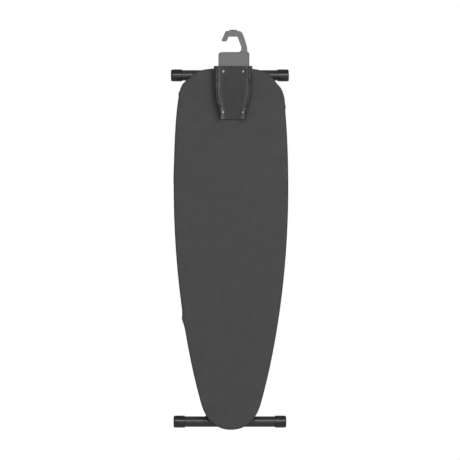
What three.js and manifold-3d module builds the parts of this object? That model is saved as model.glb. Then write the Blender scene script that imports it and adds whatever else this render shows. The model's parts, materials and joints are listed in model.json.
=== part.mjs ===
// A folding ironing board that hangs by a hook from a wardrobe rail, with an open
// channel on the front that stores an iron. Millimetres, +Z up, +X right.
// The ironing side faces -Y. The origin is the middle of the flat face inside the
// hook, which rests on the rail. The board hangs folded, square end (tail) up.
import * as THREE from 'three';
import { mergeVertices } from 'three/addons/utils/BufferGeometryUtils.js';
import Module from 'manifold-3d';

const wasm = await Module();
wasm.setup();

// ---- driving dimensions ----
const gap = 0.3;                  // clearance between touching pieces
const boardX = -6.4;              // centreline of the board
const tailZ = -92.5;              // tail edge of the board
const boardLength = 1100;
const legX = -9.6;                // centreline of the legs and their hardware
const coverFront = 3.4;           // y of the ironing surface
const coverThick = 1.2;
const padThick = 4;
const deckThick = 0.9;
const rimDepth = 19;
const rimWall = 1.3;
const rimFlange = 14;
const lipWidth = 22;              // how far the cover turns in at the back
const legPlane = 52;              // y of every leg axis when folded
const pivotDrop = 150;            // tail edge to the fixed pivot of the outer leg
const upperArm = 400;             // pivot to the crossing bolt
const lowerArm = 525.8;           // crossing bolt to the foot
const legTube = 22;
const legWall = 1.1;
const outerLegX = 62;             // tube centres of the outer leg, each side
const innerLegX = 38;
const footTube = 32;
const footCap = 36;
const footCapLength = 35;
const tailFootWidth = 359;        // inner leg, at the tail end when folded
const noseFootWidth = 343;        // outer leg, at the nose end when folded
const boltDia = 8;
const rodDia = 10;
const bushDia = 14;
const railX = 20;
const leverY = 36;
const leverDia = 6;

// places worked out from them
const padFront = coverFront + coverThick + gap;
const deckFront = padFront + padThick + gap;
const rimFront = deckFront + deckThick + gap;
const rimRear = rimFront + rimDepth;
const ribRear = rimRear - rimWall - gap;
const lipFront = rimRear + gap;
const pivotZ = tailZ - pivotDrop;
const crossZ = pivotZ - upperArm;
const slideZ = crossZ - upperArm;
const noseFootZ = crossZ - lowerArm;
const tailFootZ = crossZ + lowerArm;
const openAngle = 57 * Math.PI / 180;
const openSlideZ = pivotZ - 2 * upperArm * Math.cos(openAngle);
const leverZ = crossZ + 2.5;

// ---- materials ----
const finish = (color, roughness, metalness) =>
  new THREE.MeshStandardMaterial({ color, roughness, metalness });
const hookPlastic = finish(0x75777a, 0.55, 0);
const darkPlastic = finish(0x1d1e20, 0.5, 0);
const rubber = finish(0x17181a, 0.8, 0);
const coverFabric = finish(0x4a4a4b, 0.95, 0);
const felt = finish(0x8d8a84, 1, 0);
const coatedSteel = finish(0x26282c, 0.4, 0.4);
const zincSteel = finish(0xa9abad, 0.35, 0.9);

// ---- helpers ----
const object = new THREE.Group();
const legs = new THREE.Group();   // everything centred on the legs, not the board
legs.position.x = legX;
object.add(legs);

function add(name, geometry, material, parent = object) {
  const mesh = new THREE.Mesh(geometry, material);
  mesh.name = name;
  parent.add(mesh);
  return mesh;
}

function solid(geometry) {
  const plain = geometry.clone();
  plain.deleteAttribute('normal');
  plain.deleteAttribute('uv');
  const merged = mergeVertices(plain, 1e-4);
  return new wasm.Manifold(new wasm.Mesh({
    numProp: 3,
    vertProperties: new Float32Array(merged.attributes.position.array),
    triVerts: new Uint32Array(merged.index.array),
  }));
}

function surface(body) {
  const mesh = body.getMesh();
  const geometry = new THREE.BufferGeometry();
  geometry.setAttribute('position', new THREE.BufferAttribute(mesh.vertProperties, 3));
  geometry.setIndex(new THREE.BufferAttribute(mesh.triVerts, 1));
  return geometry;
}

function joined(...parts) {
  return surface(parts.map(solid).reduce((sum, part) => sum.add(part)));
}

function cut(base, ...tools) {
  return surface(tools.map(solid).reduce((left, tool) => left.subtract(tool), solid(base)));
}

function box(x0, x1, y0, y1, z0, z1) {
  return new THREE.BoxGeometry(x1 - x0, y1 - y0, z1 - z0)
    .translate((x0 + x1) / 2, (y0 + y1) / 2, (z0 + z1) / 2);
}

// A closed cylinder along X, Y or Z.
function bar(axis, dia, from, to, a, b, sides = 16) {
  const geometry = new THREE.CylinderGeometry(dia / 2, dia / 2, to - from, sides);
  const middle = (from + to) / 2;
  if (axis === 'x') return geometry.rotateZ(Math.PI / 2).translate(middle, a, b);
  if (axis === 'y') return geometry.translate(a, middle, b);
  return geometry.rotateX(Math.PI / 2).translate(a, b, middle);
}

// A flat outline drawn in X and Z, given a thickness along Y.
function slab(shape, y0, y1, curveSegments = 6) {
  return new THREE.ExtrudeGeometry(shape, { depth: y1 - y0, bevelEnabled: false, curveSegments })
    .rotateX(Math.PI / 2).translate(0, y1, 0);
}

// An outline drawn in Y and Z, given a thickness along X.
function profile(points, x0, x1) {
  const shape = new THREE.Shape(points.map(([y, z]) => new THREE.Vector2(y, z)));
  return new THREE.ExtrudeGeometry(shape, { depth: x1 - x0, bevelEnabled: false })
    .rotateX(Math.PI / 2).rotateZ(Math.PI / 2).translate(x0, 0, 0);
}

function lathe(points, sides) {
  return new THREE.LatheGeometry(points.map(([r, h]) => new THREE.Vector2(r, h)), sides);
}

// Pan-head screw: the head's flat underside is at the origin, its shank runs along -Y of the lathe.
function screw(headDia, headHeight, shankDia, shankLength) {
  return lathe([
    [0, -shankLength], [shankDia / 2, -shankLength], [shankDia / 2, 0], [headDia / 2, 0],
    [headDia / 2, headHeight * 0.4], [headDia * 0.3, headHeight], [0, headHeight],
  ], 12);
}

// ---- board outline: x from the board's centreline, z down from the tail edge ----
function boardOutline() {
  const half = new THREE.Shape();
  half.moveTo(0, 0);
  half.bezierCurveTo(94.6, 0, 100.3, -3.2, 146.2, -50.2);
  half.bezierCurveTo(169.2, -73.8, 174, -277.1, 174, -361.5);
  half.bezierCurveTo(174, -671.5, 122.7, -908.1, 89.9, -1022.9);
  half.bezierCurveTo(84.4, -1042.2, 63.7, -boardLength, 0, -boardLength);
  const right = half.getPoints(9);
  const left = right.slice(1, -1).reverse().map((p) => new THREE.Vector2(-p.x, p.y));
  return [...right, ...left];
}

// The outline moved inwards, every corner along the mean of its two edges' normals.
function insetOutline(points, distance) {
  return points.map((point, i) => {
    const before = points[(i + points.length - 1) % points.length];
    const after = points[(i + 1) % points.length];
    const along = after.clone().sub(before).normalize();
    return new THREE.Vector2(point.x + along.y * distance, point.y - along.x * distance);
  });
}

// A plate of the board's outline between two y values.
function boardPlate(inset, y0, y1) {
  const shape = new THREE.Shape(insetOutline(boardOutline(), inset));
  return slab(shape, y0, y1).translate(boardX, 0, tailZ);
}

// ---- hanging unit ----
const plateHalf = 3;              // half the hook plate's thickness
const holderBack = -plateHalf - gap;
const holderDepth = 28;
const holderWall = 3;
const holderLip = 7;
const holderTop = -89;
const holderBottom = -250;
const holderFront = holderBack - holderDepth;
const holderFloor = holderBack - holderWall;
const screwHeadDia = 8;
const screwHeadHeight = 1.7;
const screwShankDia = 3.6;
const screwHoleDia = 4.2;
const holderScrews = [
  ['upper_left', -30, -106], ['upper_right', 30, -106],
  ['lower_left', -31, -230], ['lower_right', 31, -230],
];
const clipX = 54.5;
const clipWidth = 8;
const clipThick = 3;
const clipTop = tailZ + 3.6;
const clipScrewZ = tailZ - 8.6;
const clipRearFront = lipFront + coverThick + gap;
const clipRear = clipRearFront + clipThick;

function hookPlate() {
  const shape = new THREE.Shape();
  shape.moveTo(-30, -246);
  shape.lineTo(-38, -205);
  shape.lineTo(-44.5, -160);
  shape.lineTo(-44.5, -58);
  shape.quadraticCurveTo(-44.5, -46.6, -33, -46.6);
  shape.lineTo(15, -46.6);
  shape.quadraticCurveTo(24, -46.6, 25, -36);
  shape.lineTo(24.6, -30);
  shape.lineTo(13, 0);
  shape.lineTo(-13, 0);
  shape.lineTo(-18.6, -10.6);
  shape.quadraticCurveTo(-19.5, -14.6, -24.5, -14.6);
  shape.lineTo(-30.5, -14.6);
  shape.quadraticCurveTo(-35.6, -14.4, -34, -9);
  shape.lineTo(-24.6, 12.4);
  shape.quadraticCurveTo(-22.4, 17.6, -17.6, 17.6);
  shape.lineTo(15.5, 17.6);
  shape.quadraticCurveTo(24.5, 17.2, 28.6, 9.5);
  shape.quadraticCurveTo(36, -6, 42.5, -33);
  shape.lineTo(43.6, -46.2);
  shape.quadraticCurveTo(49.4, -47, 49.5, -54);
  shape.lineTo(49.5, -160);
  shape.lineTo(38, -205);
  shape.lineTo(30, -246);
  const plate = slab(shape, -plateHalf, plateHalf, 5);
  const holes = holderScrews.map(([, x, z]) =>
    bar('y', screwHoleDia, -plateHalf - 1, plateHalf + 1, x, z, 12));
  return cut(plate, ...holes);
}

// The holder is straight at the top, tapers with an iron's soleplate, and is straight again at the bottom.
const holderSide = [
  [56, holderTop], [55.5, -165], [54, -183], [50.5, -199], [45.5, -210], [41.5, -218],
  [39.5, holderBottom],
];
function holderHalf(z) {
  const next = holderSide.findIndex(([, level], i) => i > 0 && level <= z);
  const last = next < 0 ? holderSide.length - 1 : next;
  const [[xa, za], [xb, zb]] = [holderSide[last - 1], holderSide[last]];
  return xa + (xb - xa) * (za - z) / (za - zb);
}

function holderShape(inset, top, bottom) {
  const levels = [top, ...holderSide.map(([, z]) => z).filter((z) => z < top && z > bottom), bottom];
  const right = levels.map((z) => new THREE.Vector2(holderHalf(z) - inset, z));
  const left = right.slice().reverse().map((p) => new THREE.Vector2(-p.x, p.y));
  return new THREE.Shape([...left, ...right]);
}

function ironHolder() {
  const lipBottom = -216;
  const mouth = holderFront - 1;
  const innerLip = holderWall + holderLip;
  const grooveOuter = 4;
  const grooveInner = 6.2;
  const grooveFloor = holderFront + 1.5;
  const part = (inset, reach, bottom, y0, y1) =>
    slab(holderShape(inset, holderTop + reach, bottom - reach), y0, y1);
  const shell = cut(
    part(0, 0, holderBottom, holderFront, holderBack),
    part(holderWall, 1, holderBottom, holderFront + holderWall, holderFloor),
    part(innerLip, 2, holderBottom, mouth, holderFloor - 1),
    slab(holderShape(holderWall, lipBottom, holderBottom - 1), mouth, holderFloor - 1),
    cut(
      part(grooveOuter, 1, lipBottom, mouth, grooveFloor),
      part(grooveInner, 2, lipBottom, mouth - 1, grooveFloor + 1),
    ),
  );
  const recesses = holderScrews.flatMap(([, x, z]) => [
    bar('y', screwHeadDia + 2 * gap, holderFloor - 1, holderFloor + screwHeadHeight + gap, x, z, 12),
    bar('y', screwHoleDia, holderFloor - 1, holderBack + 1, x, z, 12),
  ]);
  return cut(shell, ...recesses);
}

function edgeClip(x) {
  const strap = profile([
    [-2.9, -112], [0.1, -112], [0.1, clipTop - clipThick], [clipRearFront, clipTop - clipThick],
    [clipRearFront, tailZ - 14], [clipRear, tailZ - 14], [clipRear, clipTop], [-2.9, clipTop],
  ], x - clipWidth / 2, x + clipWidth / 2);
  return cut(strap, bar('y', screwHoleDia, clipRearFront - 1, clipRear + 1, x, clipScrewZ, 12));
}

add('hook_plate', hookPlate(), hookPlastic);
add('hook_top_pad', box(-11.5, 11.5, -2.4, 2.4, 17.9, 20.6), rubber);
add('iron_holder', ironHolder(), darkPlastic);
for (const [place, x, z] of holderScrews) {
  // the head sits in its recess and faces the front
  const geometry = screw(screwHeadDia, screwHeadHeight, screwShankDia, 6.5)
    .rotateX(Math.PI).translate(x, holderFloor + screwHeadHeight, z);
  add(`holder_screw_${place}`, geometry, zincSteel);
}
for (const [side, x] of [['left', -clipX], ['right', clipX]]) {
  add(`edge_clip_${side}`, edgeClip(x), darkPlastic);
  const clipScrew = screw(6.5, 2, screwShankDia, 11).translate(x, clipRear + gap, clipScrewZ);
  add(`clip_screw_${side}`, clipScrew, zincSteel);
}

// ---- board ----
const clipHoles = () => [-clipX, clipX].map((x) =>
  bar('y', screwHoleDia, rimRear - rimWall - 1, clipRear, x, clipScrewZ, 12));
const frameInset = coverThick + gap;
add('board_cover', cut(
  boardPlate(0, coverFront, lipFront + coverThick),
  boardPlate(coverThick, coverFront + coverThick, lipFront),
  boardPlate(lipWidth, lipFront - 1, lipFront + coverThick + 1),
  ...clipHoles(),
), coverFabric);
add('felt_pad', boardPlate(frameInset, padFront, padFront + padThick), felt);
add('deck_panel', boardPlate(frameInset, deckFront, deckFront + deckThick), coatedSteel);
add('rim_frame', cut(
  boardPlate(frameInset, rimFront, rimRear),
  boardPlate(frameInset + rimWall, rimFront - 1, rimRear - rimWall),
  boardPlate(frameInset + rimFlange, rimRear - rimWall - 1, rimRear + 1),
  ...clipHoles(),
), coatedSteel);

// Ribs are channels, open towards the deck, with their webs at the back.
const ribWidth = 34;
const ribWall = 1.5;
const noseRibZ = slideZ - 17.5;
function crossRib(z, holes) {
  const half = ribWidth / 2;
  const channel = cut(
    box(-200, 200, rimFront, ribRear, z - half, z + half),
    box(-210, 210, rimFront - 1, ribRear - ribWall, z - half + ribWall, z + half - ribWall),
    ...holes,
  );
  const inside = boardPlate(frameInset + rimWall + gap, rimFront - 1, ribRear + 1);
  return surface(solid(channel).intersect(solid(inside)));
}

const hardwareFront = ribRear + gap;
const railScrewX = 28;
const railScrewZ = { upper: leverZ + 9, lower: noseRibZ - 9 };
const railHoles = (z) => [-railScrewX, railScrewX].map((x) =>
  bar('y', screwHoleDia, ribRear - 3, hardwareFront + 4, x + legX, z, 12));
add('cross_rib_tail', crossRib(pivotZ, []), coatedSteel);
add('cross_rib_middle', crossRib(leverZ, railHoles(railScrewZ.upper)), coatedSteel);
add('cross_rib_nose', crossRib(noseRibZ, railHoles(railScrewZ.lower)), coatedSteel);

// ---- fixed hardware at the back, centred on the legs ----
const plateThick = 2.5;
const pivotHoleDia = boltDia + 2 * gap;

// Everything paired is drawn for the right side and turned round the leg centreline for the left.
const bothSides = [['left', -1], ['right', 1]];
const span = (side, a, b) => (side > 0 ? [a, b] : [-b, -a]);

function pivotBracket(side) {
  const earInner = outerLegX + legTube / 2 + 2;
  const ear = new THREE.Shape();
  ear.moveTo(hardwareFront, -15);
  ear.lineTo(legPlane, -13);
  ear.absarc(legPlane, 0, 13, -Math.PI / 2, Math.PI / 2, false);
  ear.lineTo(hardwareFront, 15);
  const [x0, x1] = span(side, earInner, earInner + plateThick);
  const [b0, b1] = span(side, earInner, earInner + 24);
  const bracket = joined(
    profile(ear.getPoints(8).map((p) => [p.x, p.y + pivotZ]), x0, x1),
    box(b0, b1, hardwareFront, hardwareFront + plateThick, pivotZ - 15, pivotZ + 15),
  );
  return cut(bracket, bar('x', pivotHoleDia, x0 - 1, x1 + 1, legPlane, pivotZ));
}

function pivotPin(side) {
  const earOuter = outerLegX + legTube / 2 + 2 + plateThick;
  const [s0, s1] = span(side, outerLegX - legTube / 2 + gap, earOuter + 1);
  const [h0, h1] = span(side, earOuter + gap, earOuter + 3.5);
  return joined(
    bar('x', boltDia, s0, s1, legPlane, pivotZ),
    bar('x', 14, h0, h1, legPlane, pivotZ),
  );
}

const railTop = crossZ - 11.5;
const railBottom = slideZ - 28;
const railFlangeTop = leverZ + 15;
const bushClear = 0.5;
function slideRail(side) {
  const [w0, w1] = span(side, railX - plateThick / 2, railX + plateThick / 2);
  const [f0, f1] = span(side, railX - plateThick / 2, railX + 14);
  const slotHalf = bushDia / 2 + bushClear;
  const slot = joined(
    box(w0 - 1, w1 + 1, legPlane - slotHalf, legPlane + slotHalf, slideZ, openSlideZ),
    bar('x', 2 * slotHalf, w0 - 1, w1 + 1, legPlane, slideZ),
    bar('x', 2 * slotHalf, w0 - 1, w1 + 1, legPlane, openSlideZ),
  );
  const rail = joined(
    box(w0, w1, hardwareFront, legPlane + slotHalf + 6, railBottom, railTop),
    box(f0, f1, hardwareFront, hardwareFront + plateThick, railBottom - 5, railFlangeTop),
  );
  const holes = Object.values(railScrewZ).map((z) =>
    bar('y', screwHoleDia, hardwareFront - 1, hardwareFront + plateThick + 1, side * railScrewX, z, 12));
  return cut(rail, slot, ...holes);
}

for (const [name, side] of bothSides) {
  add(`pivot_bracket_${name}`, pivotBracket(side), zincSteel, legs);
  add(`pivot_pin_${name}`, pivotPin(side), zincSteel, legs);
  add(`slide_rail_${name}`, slideRail(side), zincSteel, legs);
  for (const [level, z] of Object.entries(railScrewZ)) {
    const geometry = screw(7.5, 2, screwShankDia, 8)
      .translate(side * railScrewX, hardwareFront + plateThick + gap, z);
    add(`rail_screw_${level}_${name}`, geometry, zincSteel, legs);
  }
  const [b0, b1] = [hardwareFront, legPlane - legTube / 2 - gap];
  add(`leg_bumper_${name}`, bar('y', 12, b0, b1, side * outerLegX, noseRibZ), rubber, legs);
}

// ---- height release: a sprung wire lever that carries the toothed rack ----
const gripX = 140;
const gripLength = 72;
const bendRadius = 12;
const leverStart = -22;
const leverLean = 5.6 / 180 * Math.PI;   // the hanging end stands off the cover
const rackThick = 4;
const rackFront = 32;
const rackBack = 42;
const toothTip = legPlane - rodDia / 2 - 0.7;
const toothPitch = 34;
const toothCount = 5;
const firstToothZ = openSlideZ - 10;
const rackEnd = firstToothZ - toothPitch * toothCount - 6;

function leverShaft() {
  const path = new THREE.CurvePath();
  const corner = new THREE.Vector3(gripX, leverY, leverZ);
  const bendStart = corner.clone().add(new THREE.Vector3(-bendRadius, 0, 0));
  const hanging = (drop) => new THREE.Vector3(
    gripX, leverY + drop * Math.sin(leverLean), leverZ - drop * Math.cos(leverLean));
  const bendEnd = hanging(bendRadius);
  path.add(new THREE.LineCurve3(new THREE.Vector3(leverStart, leverY, leverZ), bendStart));
  path.add(new THREE.QuadraticBezierCurve3(bendStart, corner, bendEnd));
  path.add(new THREE.LineCurve3(bendEnd, hanging(bendRadius + gripLength)));
  const section = new THREE.Shape().absarc(0, 0, leverDia / 2, 0, 2 * Math.PI, false);
  return new THREE.ExtrudeGeometry(section, { extrudePath: path, steps: 26, curveSegments: 5 });
}

function leverGrip() {
  const top = -bendRadius - 8;
  const bottom = -bendRadius - gripLength - 4;
  const paddle = new THREE.Shape();
  paddle.moveTo(-6, top);
  paddle.quadraticCurveTo(-9, (top + bottom) / 2, -8, bottom + 8);
  paddle.quadraticCurveTo(-7, bottom, 0, bottom);
  paddle.quadraticCurveTo(7, bottom, 8, bottom + 8);
  paddle.quadraticCurveTo(9, (top + bottom) / 2, 6, top);
  return cut(
    slab(paddle, -4.8, 4.8),
    bar('z', leverDia + 2 * gap, bottom + 4 - gap, top + 1, 0, 0, 12),
  ).rotateX(leverLean).translate(gripX, leverY, leverZ);
}

function lockRack() {
  const points = [[rackFront, leverZ - 4], [rackFront, rackEnd], [rackBack, rackEnd]];
  for (let i = toothCount - 1; i >= 0; i -= 1) {
    const tooth = firstToothZ - toothPitch * (i + 1);
    points.push([rackBack, tooth], [toothTip, tooth + 4], [toothTip, tooth + 9], [rackBack, tooth + 20]);
  }
  points.push([rackBack, leverZ - 4]);
  const half = rackThick / 2;
  return cut(
    joined(profile(points, -half, half), bar('x', 14, -half, half, leverY, leverZ)),
    bar('x', leverDia + 2 * gap, -half - 1, half + 1, leverY, leverZ),
  );
}

function leverSaddle(x) {
  return cut(
    box(x - 5, x + 5, hardwareFront, leverY + 5.5, leverZ - 8, leverZ + 8),
    bar('x', leverDia + 3 * gap, x - 6, x + 6, leverY, leverZ),
  );
}

// Torsion spring round the shaft: one arm on the rib, the other on the bend of the lever.
function leverSpring() {
  const turns = 4;
  const radius = 5.2;
  const start = 101;
  const length = 14;
  const points = [new THREE.Vector3(start, hardwareFront + 1, leverZ - 13)];
  const steps = turns * 8 + 6;
  for (let i = 0; i <= steps; i += 1) {
    const angle = i / 8 * 2 * Math.PI;
    points.push(new THREE.Vector3(
      start + length * i / steps,
      leverY - radius * Math.cos(angle),
      leverZ + radius * Math.sin(angle),
    ));
  }
  points.push(new THREE.Vector3(start + length + 1, leverY, leverZ - 13));
  const section = new THREE.Shape().absarc(0, 0, 0.7, 0, 2 * Math.PI, false);
  return new THREE.ExtrudeGeometry(section, {
    extrudePath: new THREE.CatmullRomCurve3(points), steps: 60, curveSegments: 3,
  });
}

add('lever_shaft', leverShaft(), zincSteel, legs);
add('lever_grip', leverGrip(), darkPlastic, legs);
add('lock_rack', lockRack(), zincSteel, legs);
add('lever_saddle_inner', leverSaddle(-11), darkPlastic, legs);
add('lever_saddle_outer', leverSaddle(90), darkPlastic, legs);
add('lever_spring', leverSpring(), zincSteel, legs);

// ---- legs: both lie in one plane behind the board and cross at the bolt ----
const plugZ = pivotZ + 16;
const boltClear = () => bar('x', pivotHoleDia, -100, 100, legPlane, crossZ);

function legTubeAt(x, zLow, zHigh, boreLow, boreHigh, footZ, holes) {
  return cut(
    bar('z', legTube, zLow, zHigh, x, legPlane),
    bar('z', legTube - 2 * legWall, boreLow, boreHigh, x, legPlane),
    bar('x', footTube + 2 * gap, -200, 200, legPlane, footZ, 20),
    ...holes,
  );
}

function brace(reach, z) {
  return cut(
    bar('x', 12, -reach, reach, legPlane, z, 12),
    bar('z', legTube + 2 * gap, z - 20, z + 20, -reach, legPlane),
    bar('z', legTube + 2 * gap, z - 20, z + 20, reach, legPlane),
  );
}

function foot(prefix, width, z) {
  const endWall = 5;
  const half = width / 2;
  const tubeHalf = half - endWall - gap;
  add(`${prefix}_foot_tube`, cut(
    bar('x', footTube, -tubeHalf, tubeHalf, legPlane, z, 32),
    bar('x', footTube - 2 * legWall, -tubeHalf - 1, tubeHalf + 1, legPlane, z, 32),
  ), coatedSteel, legs);
  for (const [name, side] of bothSides) {
    const [c0, c1] = span(side, half - footCapLength, half);
    const [h0, h1] = span(side, half - footCapLength - 1, half - endWall);
    add(`${prefix}_foot_cap_${name}`, cut(
      bar('x', footCap, c0, c1, legPlane, z, 32),
      bar('x', footTube + 2 * gap, h0, h1, legPlane, z, 32),
    ), rubber, legs);
  }
}

for (const [name, side] of bothSides) {
  const x = side * outerLegX;
  add(`outer_leg_tube_${name}`, legTubeAt(
    x, noseFootZ, plugZ, noseFootZ - 1, plugZ + 1, noseFootZ,
    [boltClear(), bar('x', pivotHoleDia, -100, 100, legPlane, pivotZ)],
  ), coatedSteel, legs);
  add(`outer_leg_plug_${name}`, joined(
    bar('z', legTube, plugZ + gap, plugZ + 3, x, legPlane),
    bar('z', legTube - 2 * legWall - 2 * gap, plugZ - 8, plugZ + 1, x, legPlane),
  ), rubber, legs);
}
add('outer_leg_brace', brace(outerLegX, noseFootZ + 60), coatedSteel, legs);
foot('outer', noseFootWidth, noseFootZ);

const boltReach = outerLegX + legTube / 2 + gap;
add('cross_bolt', joined(
  bar('x', boltDia, -boltReach - 1, boltReach + 3.5, legPlane, crossZ),
  bar('x', 15, -boltReach - 4, -boltReach, legPlane, crossZ),
), zincSteel, legs);
add('cross_nut', cut(
  bar('x', 15, boltReach, boltReach + 7, legPlane, crossZ, 6),
  bar('x', pivotHoleDia, boltReach - 1, boltReach + 3.5 + gap, legPlane, crossZ),
), zincSteel, legs);

for (const [name, side] of bothSides) {
  const x = side * innerLegX;
  const end = slideZ - 16;
  add(`inner_leg_tube_${name}`, legTubeAt(
    x, end, tailFootZ, end + 2.5, tailFootZ + 1, tailFootZ,
    [boltClear(), bar('x', rodDia + 2 * gap, -100, 100, legPlane, slideZ)],
  ), coatedSteel, legs);
  const [w0, w1] = span(side, innerLegX + legTube / 2 + gap, outerLegX - legTube / 2 - gap);
  add(`cross_washer_${name}`, cut(
    bar('x', 16, w0, w1, legPlane, crossZ),
    bar('x', pivotHoleDia, w0 - 1, w1 + 1, legPlane, crossZ),
  ), rubber, legs);
  const [b0, b1] = span(side, railX - 4, railX + 4);
  add(`slide_bush_${name}`, cut(
    bar('x', bushDia, b0, b1, legPlane, slideZ),
    bar('x', rodDia + 2 * gap, b0 - 1, b1 + 1, legPlane, slideZ),
  ), darkPlastic, legs);
}
add('inner_leg_brace', brace(innerLegX, tailFootZ - 60), coatedSteel, legs);
foot('inner', tailFootWidth, tailFootZ);

const sleeveReach = innerLegX - legTube / 2 - gap;
add('cross_sleeve', cut(
  bar('x', 13, -sleeveReach, sleeveReach, legPlane, crossZ),
  bar('x', pivotHoleDia, -sleeveReach - 1, sleeveReach + 1, legPlane, crossZ),
), zincSteel, legs);
const rodReach = innerLegX + legTube / 2 - gap;
add('slide_rod', bar('x', rodDia, -rodReach, rodReach, legPlane, slideZ), zincSteel, legs);

export default object;
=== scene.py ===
import json
import math
import random

import bmesh
import bpy
import numpy as np
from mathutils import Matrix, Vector


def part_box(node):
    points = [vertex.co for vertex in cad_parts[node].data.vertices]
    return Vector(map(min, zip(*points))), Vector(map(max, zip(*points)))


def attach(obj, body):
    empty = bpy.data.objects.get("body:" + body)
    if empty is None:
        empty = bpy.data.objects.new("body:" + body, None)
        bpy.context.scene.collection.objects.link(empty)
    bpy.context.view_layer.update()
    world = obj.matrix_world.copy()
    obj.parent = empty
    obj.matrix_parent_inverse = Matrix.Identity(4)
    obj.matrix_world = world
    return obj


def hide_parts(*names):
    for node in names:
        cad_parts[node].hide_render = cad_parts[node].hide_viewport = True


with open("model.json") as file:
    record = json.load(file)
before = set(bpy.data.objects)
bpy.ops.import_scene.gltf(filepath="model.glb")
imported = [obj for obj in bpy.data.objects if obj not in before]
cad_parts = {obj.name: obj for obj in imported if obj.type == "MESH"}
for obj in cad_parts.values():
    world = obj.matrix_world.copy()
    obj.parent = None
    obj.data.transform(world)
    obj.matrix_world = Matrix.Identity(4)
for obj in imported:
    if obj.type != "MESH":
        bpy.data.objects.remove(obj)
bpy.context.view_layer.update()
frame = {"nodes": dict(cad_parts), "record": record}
mm = 0.001
nodes = frame["nodes"]
bodyOf = {node: body for body, names in frame["record"]["behaviour"]["bodies"].items() for node in names}
slotOf = {part["node"]: part["material_slot"] for part in frame["record"]["subparts"]}
print("frame loaded:", len(nodes), "nodes")


# shapes: every one is a pair of points and faces, in metres

def middle(node):
    low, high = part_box(node)
    return (Vector(low) + Vector(high)) / 2


def quarterTurn(steps):   # sine and cosine at each step
    angles = [math.pi / 2 * i / steps for i in range(steps + 1)]
    return [(math.sin(angle), math.cos(angle)) for angle in angles]


def turned(axis, centre, profile, sides=48):   # profile is (along, radius), from pole to pole or a closed ring
    points, faces, rows = [], [], []
    for along, radius in profile:
        row = []
        for k in range(1 if radius == 0 else sides):
            angle = 2 * math.pi * k / sides
            c, s = radius * math.cos(angle), radius * math.sin(angle)
            local = {"x": (along, c, s), "y": (s, along, c), "z": (c, s, along)}[axis]
            row.append(len(points))
            points.append(tuple(centre[i] + local[i] for i in range(3)))
        rows.append(row)
    pairs = list(zip(rows, rows[1:]))
    if profile[0][1] > 0:
        pairs.append((rows[-1], rows[0]))
    for a, b in pairs:
        for k in range(sides):
            n = (k + 1) % sides
            if len(a) == 1:
                faces.append((a[0], b[n], b[k]))
            elif len(b) == 1:
                faces.append((a[k], a[n], b[0]))
            else:
                faces.append((a[k], a[n], b[n], b[k]))
    return points, faces


def loopFaces(rows, count, closed=False):   # a skin over rows of count points each
    faces = []
    for a in range(rows if closed else rows - 1):
        b = (a + 1) % rows
        for k in range(count):
            n = (k + 1) % count
            faces.append((a * count + k, a * count + n, b * count + n, b * count + k))
    return faces


def swept(path, radius, sides=16, closed=False):   # a round tube along a path
    path = [Vector(p) for p in path]
    count = len(path)
    points = []
    normal = None
    for i, p in enumerate(path):
        before = path[i - 1] if i or closed else p
        after = path[(i + 1) % count] if i < count - 1 or closed else p
        along = (after - before).normalized()
        if normal is None:
            normal = along.orthogonal().normalized()
        normal = (normal - along * normal.dot(along)).normalized()
        side = along.cross(normal)
        for k in range(sides):
            angle = 2 * math.pi * k / sides
            points.append(tuple(p + radius * (math.cos(angle) * normal + math.sin(angle) * side)))
    faces = loopFaces(count, sides, closed)
    if not closed:
        faces.append(tuple(range(sides - 1, -1, -1)))
        faces.append(tuple((count - 1) * sides + k for k in range(sides)))
    return points, faces


def together(*shapes):
    points, faces = [], []
    for more, rims in shapes:
        start = len(points)
        points += more
        faces += [tuple(start + i for i in face) for face in rims]
    return points, faces


def newObject(name, points, faces, edges=()):
    mesh = bpy.data.meshes.new(name)
    mesh.from_pydata(points, edges, faces)
    item = bpy.data.objects.new(name, mesh)
    bpy.context.scene.collection.objects.link(item)
    return item


def finishedShape(item):   # what the item's modifiers make of it; the item itself goes
    bpy.context.view_layer.update()
    result = bpy.data.meshes.new_from_object(item.evaluated_get(bpy.context.evaluated_depsgraph_get()))
    bpy.data.objects.remove(item)
    return [tuple(v.co) for v in result.vertices], [tuple(f.vertices) for f in result.polygons]


def makePiece(name, shape, finish, node, sharp=35, added=False):   # added ones go over the node's own shape
    piece = newObject(name, *shape)
    piece.data.update()
    piece.data.shade_smooth()
    piece.data.set_sharp_from_angle(angle=math.radians(sharp))
    piece.data.materials.append(finish)
    turnOutwards(piece)
    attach(piece, bodyOf[node])
    if not added:
        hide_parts(node)
    return piece


def turnOutwards(piece, weldWithin=0):
    work = bmesh.new()
    work.from_mesh(piece.data)
    if weldWithin:
        bmesh.ops.remove_doubles(work, verts=work.verts, dist=weldWithin)
    bmesh.ops.recalc_face_normals(work, faces=work.faces)
    work.to_mesh(piece.data)
    work.free()


# node trees

def newTree(name, kind, inputs, outputs):   # inputs are (label, kind, value), outputs are (label, kind)
    tree = bpy.data.node_groups.new(name, kind)
    for label, socketKind, value in inputs:
        socket = tree.interface.new_socket(label, in_out="INPUT", socket_type="NodeSocket" + socketKind)
        if value is not None:
            socket.default_value = value
    for label, socketKind in outputs:
        tree.interface.new_socket(label, in_out="OUTPUT", socket_type="NodeSocket" + socketKind)
    return tree, tree.nodes.new("NodeGroupInput").outputs, tree.nodes.new("NodeGroupOutput").inputs


def addNode(tree, kind, links=(), **settings):   # links are (input, value or another node's output)
    node = tree.nodes.new(kind)
    for name, value in settings.items():
        setattr(node, name, value)
    for socket, value in links:
        if isinstance(value, bpy.types.NodeSocket):
            tree.links.new(value, node.inputs[socket])
        else:
            node.inputs[socket].default_value = value
    return node


def fromNode(tree, kind, links=(), output=0, **settings):
    return addNode(tree, kind, links, **settings).outputs[output]


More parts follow.
